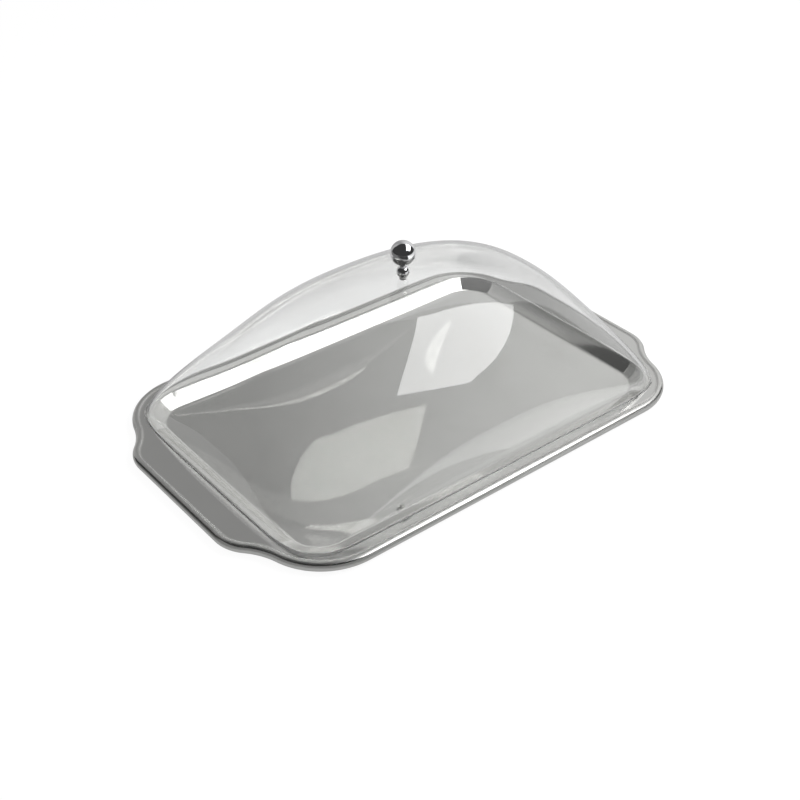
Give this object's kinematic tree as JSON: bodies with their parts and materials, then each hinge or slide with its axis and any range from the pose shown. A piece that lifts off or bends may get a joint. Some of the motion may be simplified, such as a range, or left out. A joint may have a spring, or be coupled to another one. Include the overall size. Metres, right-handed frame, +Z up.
{
  "type": "covered serving tray",
  "caption": "Long pressed steel serving tray with handle wings and a rolled edge, under a clear domed cover that lifts off by a chromed ball knob.",
  "frame": {"origin": "middle of the tray's underside, where it stands", "axes": "+X along the tray from wing to wing, +Y across it, +Z up"},
  "size_m": [0.5, 0.3206, 0.1728],
  "materials": {
    "tray_steel": "bright polished stainless sheet",
    "clear_cover": "clear polished plastic",
    "knob_chrome": "mirror chrome",
    "clear_washer": "clear soft plastic",
    "fixing_steel": "plain stainless steel"
  },
  "bodies": {
    "tray": {"tray": "tray_steel"},
    "cover": {"cover": "clear_cover", "knob_ball": "knob_chrome", "knob_collar": "knob_chrome", "outer_washer": "clear_washer", "knob_screw": "fixing_steel"}
  },
  "joints": [
    {"name": "cover_lift", "type": "slide", "parent": "tray", "child": "cover", "axis": [0, 0, 1], "range_m": [0, 0.2]}
  ]
}
